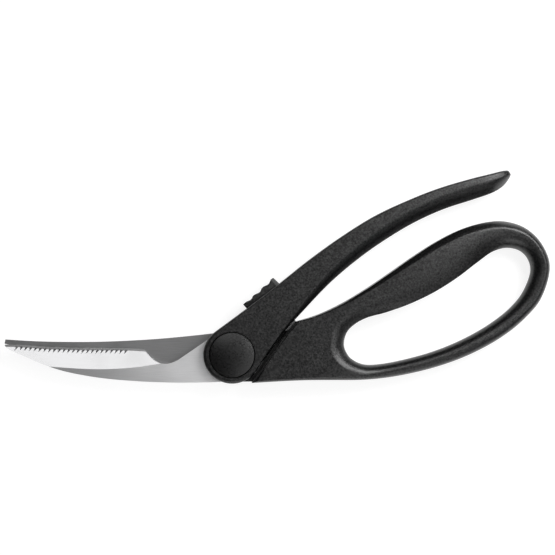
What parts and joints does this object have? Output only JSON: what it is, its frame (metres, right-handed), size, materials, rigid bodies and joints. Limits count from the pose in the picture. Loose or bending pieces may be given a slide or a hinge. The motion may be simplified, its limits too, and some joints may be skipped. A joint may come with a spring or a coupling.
{
  "type": "poultry shears",
  "caption": "Spring-loaded poultry shears with a bone notch, a serrated bevelled blade, a straight lever handle, a closed finger-loop handle and a sliding lock on the lever's edge.",
  "frame": {"origin": "on the pivot's axis, in the plane of the flat rear face the shears lie on", "axes": "+X along the handles, away from the blades; +Y towards the lever handle; +Z from the rear face to the front face, along the pivot"},
  "size_m": [0.25, 0.0972, 0.019],
  "materials": {
    "handle_plastic": "fine moulded grain",
    "cap_plastic": "smooth satin",
    "lock_plastic": "fine moulded grain",
    "satin_steel": "satin, polished bevel",
    "ground_steel": "ground, slightly darker",
    "bright_steel": "plain machined",
    "spring_steel": "drawn wire and strip",
    "bronze": "sintered bearing bronze",
    "rubber": "soft, matt"
  },
  "bodies": {
    "loop_side": {"loop_handle": "handle_plastic", "rear_blade": "ground_steel", "pivot_bolt": "bright_steel", "rear_thrust_washer": "bright_steel", "rear_pivot_cap": "cap_plastic", "stop_pin": "bright_steel", "stop_bumper": "rubber", "pivot_bush": "bronze", "pivot_nut": "bright_steel", "front_thrust_washer": "bright_steel"},
    "lever_side": {"lever_handle": "handle_plastic", "front_blade": "satin_steel", "blade_shim": "bronze", "torsion_spring": "spring_steel", "front_pivot_cap": "cap_plastic", "detent_spring": "spring_steel"},
    "lock": {"lock_button": "lock_plastic", "lock_hook": "bright_steel", "lock_pin": "bright_steel"}
  },
  "joints": [
    {"name": "blade_pivot", "type": "hinge", "parent": "loop_side", "child": "lever_side", "pos_m": [0, 0, 0], "axis": [0, 0, 1], "range_deg": [0, 30], "stiffness_Nm_per_rad": 0.6, "springref_deg": 60.16, "deforming": ["torsion_spring"]},
    {"name": "lock_slide", "type": "slide", "parent": "lever_side", "child": "lock", "axis": [-0.8039, -0.5948, 0], "range_m": [0, 0.0042]}
  ]
}
